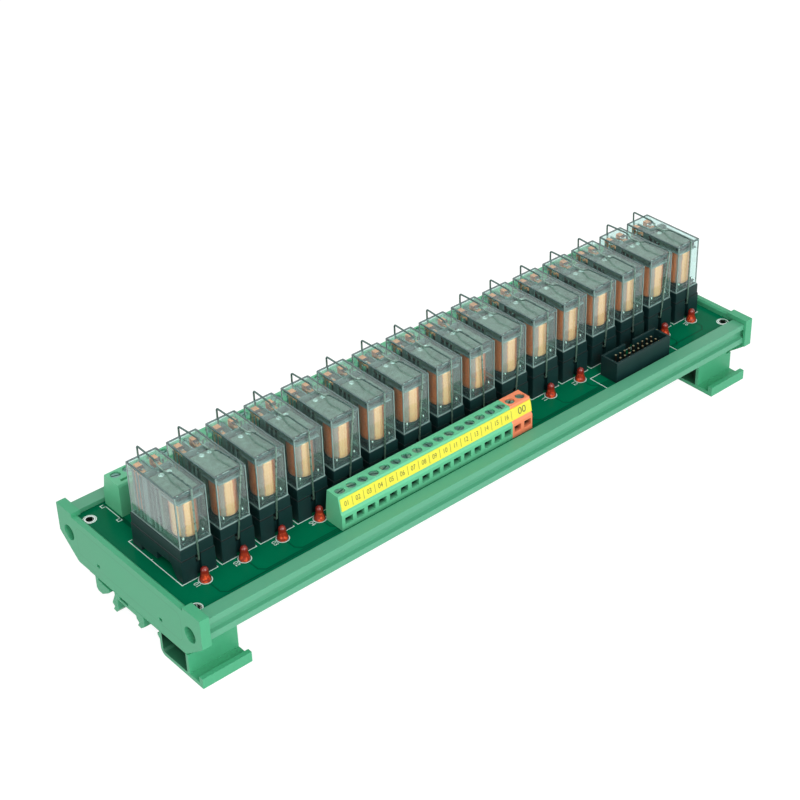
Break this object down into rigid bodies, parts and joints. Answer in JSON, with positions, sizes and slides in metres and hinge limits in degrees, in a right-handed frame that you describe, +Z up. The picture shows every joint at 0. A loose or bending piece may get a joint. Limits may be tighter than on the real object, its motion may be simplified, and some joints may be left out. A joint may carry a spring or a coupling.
{
  "type": "relay module board",
  "caption": "Relay module board in a rail-mount carrier: plug-in relays under wire clips, indicator lamps, screw terminals and a box header.",
  "frame": {"origin": "below the middle of the carrier, in the plane of the rail feet's undersides", "axes": "+X along the carrier from the plain end to the end with the box header, +Y from the signal terminals to the contact terminals, +Z up off the rail"},
  "size_m": [0.2754, 0.0874, 0.0642],
  "materials": {
    "carrier_plastic": "satin extruded plastic, greyish green",
    "moulded_green": "fine matte moulded plastic, green",
    "board_laminate": "glossy green solder mask over copper tracks",
    "socket_plastic": "satin dark teal-grey plastic",
    "relay_base_plastic": "dark plastic",
    "clear_cover": "clear, faintly smoked plastic",
    "plated_steel": "plated, dull",
    "bobbin_plastic": "brown plastic",
    "wound_copper": "copper winding under clear tape",
    "spring_bronze": "phosphor bronze",
    "contact_copper": "copper alloy",
    "spring_wire": "drawn spring steel wire",
    "lamp_red": "tinted clear plastic",
    "terminal_green": "satin green plastic",
    "terminal_orange": "satin orange plastic",
    "label_yellow": "printed yellow strip",
    "header_plastic": "satin dark plastic",
    "pin_gold": "plated pins"
  },
  "bodies": {
    "board": {"carrier_profile": "carrier_plastic", "circuit_board": "board_laminate", "end_cap_left": "moulded_green", "end_cap_right": "moulded_green", "rail_foot_left": "moulded_green", "rail_foot_right": "moulded_green", "relay_sockets": "socket_plastic", "relay_bases": "relay_base_plastic", "relay_covers": "clear_cover", "magnet_yokes": "plated_steel", "coil_bobbins": "bobbin_plastic", "coil_windings": "wound_copper", "fixed_contacts": "contact_copper", "retaining_clips": "spring_wire", "indicator_lamps": "lamp_red", "signal_terminals": "terminal_green", "common_terminals": "terminal_orange", "contact_terminals": "terminal_green", "label_strip": "label_yellow", "header_shell": "header_plastic", "header_pins": "pin_gold"},
    "rocker_01": {"armature_01": "plated_steel", "contact_springs_01": "spring_bronze"},
    "rocker_02": {"armature_02": "plated_steel", "contact_springs_02": "spring_bronze"},
    "rocker_03": {"armature_03": "plated_steel", "contact_springs_03": "spring_bronze"},
    "rocker_04": {"armature_04": "plated_steel", "contact_springs_04": "spring_bronze"},
    "rocker_05": {"armature_05": "plated_steel", "contact_springs_05": "spring_bronze"},
    "rocker_06": {"armature_06": "plated_steel", "contact_springs_06": "spring_bronze"},
    "rocker_07": {"armature_07": "plated_steel", "contact_springs_07": "spring_bronze"},
    "rocker_08": {"armature_08": "plated_steel", "contact_springs_08": "spring_bronze"},
    "rocker_09": {"armature_09": "plated_steel", "contact_springs_09": "spring_bronze"},
    "rocker_10": {"armature_10": "plated_steel", "contact_springs_10": "spring_bronze"},
    "rocker_11": {"armature_11": "plated_steel", "contact_springs_11": "spring_bronze"},
    "rocker_12": {"armature_12": "plated_steel", "contact_springs_12": "spring_bronze"},
    "rocker_13": {"armature_13": "plated_steel", "contact_springs_13": "spring_bronze"},
    "rocker_14": {"armature_14": "plated_steel", "contact_springs_14": "spring_bronze"},
    "rocker_15": {"armature_15": "plated_steel", "contact_springs_15": "spring_bronze"},
    "rocker_16": {"armature_16": "plated_steel", "contact_springs_16": "spring_bronze"}
  },
  "joints": [
    {"name": "armature_01_rock", "type": "hinge", "parent": "board", "child": "rocker_01", "pos_m": [-0.12127, -0.0098, 0.05902], "axis": [1, 0, 0], "range_deg": [0, 3.5], "stiffness_Nm_per_rad": 0.02, "springref_deg": -5.73},
    {"name": "armature_02_rock", "type": "hinge", "parent": "board", "child": "rocker_02", "pos_m": [-0.10497, -0.0098, 0.05902], "axis": [1, 0, 0], "range_deg": [0, 3.5], "stiffness_Nm_per_rad": 0.02, "springref_deg": -5.73},
    {"name": "armature_03_rock", "type": "hinge", "parent": "board", "child": "rocker_03", "pos_m": [-0.08868, -0.0098, 0.05902], "axis": [1, 0, 0], "range_deg": [0, 3.5], "stiffness_Nm_per_rad": 0.02, "springref_deg": -5.73},
    {"name": "armature_04_rock", "type": "hinge", "parent": "board", "child": "rocker_04", "pos_m": [-0.07237, -0.0098, 0.05902], "axis": [1, 0, 0], "range_deg": [0, 3.5], "stiffness_Nm_per_rad": 0.02, "springref_deg": -5.73},
    {"name": "armature_05_rock", "type": "hinge", "parent": "board", "child": "rocker_05", "pos_m": [-0.05607, -0.0098, 0.05902], "axis": [1, 0, 0], "range_deg": [0, 3.5], "stiffness_Nm_per_rad": 0.02, "springref_deg": -5.73},
    {"name": "armature_06_rock", "type": "hinge", "parent": "board", "child": "rocker_06", "pos_m": [-0.03977, -0.0098, 0.05902], "axis": [1, 0, 0], "range_deg": [0, 3.5], "stiffness_Nm_per_rad": 0.02, "springref_deg": -5.73},
    {"name": "armature_07_rock", "type": "hinge", "parent": "board", "child": "rocker_07", "pos_m": [-0.02347, -0.0098, 0.05902], "axis": [1, 0, 0], "range_deg": [0, 3.5], "stiffness_Nm_per_rad": 0.02, "springref_deg": -5.73},
    {"name": "armature_08_rock", "type": "hinge", "parent": "board", "child": "rocker_08", "pos_m": [-0.00717, -0.0098, 0.05902], "axis": [1, 0, 0], "range_deg": [0, 3.5], "stiffness_Nm_per_rad": 0.02, "springref_deg": -5.73},
    {"name": "armature_09_rock", "type": "hinge", "parent": "board", "child": "rocker_09", "pos_m": [0.00912, -0.0098, 0.05902], "axis": [1, 0, 0], "range_deg": [0, 3.5], "stiffness_Nm_per_rad": 0.02, "springref_deg": -5.73},
    {"name": "armature_10_rock", "type": "hinge", "parent": "board", "child": "rocker_10", "pos_m": [0.02542, -0.0098, 0.05902], "axis": [1, 0, 0], "range_deg": [0, 3.5], "stiffness_Nm_per_rad": 0.02, "springref_deg": -5.73},
    {"name": "armature_11_rock", "type": "hinge", "parent": "board", "child": "rocker_11", "pos_m": [0.04172, -0.0098, 0.05902], "axis": [1, 0, 0], "range_deg": [0, 3.5], "stiffness_Nm_per_rad": 0.02, "springref_deg": -5.73},
    {"name": "armature_12_rock", "type": "hinge", "parent": "board", "child": "rocker_12", "pos_m": [0.05803, -0.0098, 0.05902], "axis": [1, 0, 0], "range_deg": [0, 3.5], "stiffness_Nm_per_rad": 0.02, "springref_deg": -5.73},
    {"name": "armature_13_rock", "type": "hinge", "parent": "board", "child": "rocker_13", "pos_m": [0.07433, -0.0098, 0.05902], "axis": [1, 0, 0], "range_deg": [0, 3.5], "stiffness_Nm_per_rad": 0.02, "springref_deg": -5.73},
    {"name": "armature_14_rock", "type": "hinge", "parent": "board", "child": "rocker_14", "pos_m": [0.09062, -0.0098, 0.05902], "axis": [1, 0, 0], "range_deg": [0, 3.5], "stiffness_Nm_per_rad": 0.02, "springref_deg": -5.73},
    {"name": "armature_15_rock", "type": "hinge", "parent": "board", "child": "rocker_15", "pos_m": [0.10693, -0.0098, 0.05902], "axis": [1, 0, 0], "range_deg": [0, 3.5], "stiffness_Nm_per_rad": 0.02, "springref_deg": -5.73},
    {"name": "armature_16_rock", "type": "hinge", "parent": "board", "child": "rocker_16", "pos_m": [0.12323, -0.0098, 0.05902], "axis": [1, 0, 0], "range_deg": [0, 3.5], "stiffness_Nm_per_rad": 0.02, "springref_deg": -5.73}
  ]
}
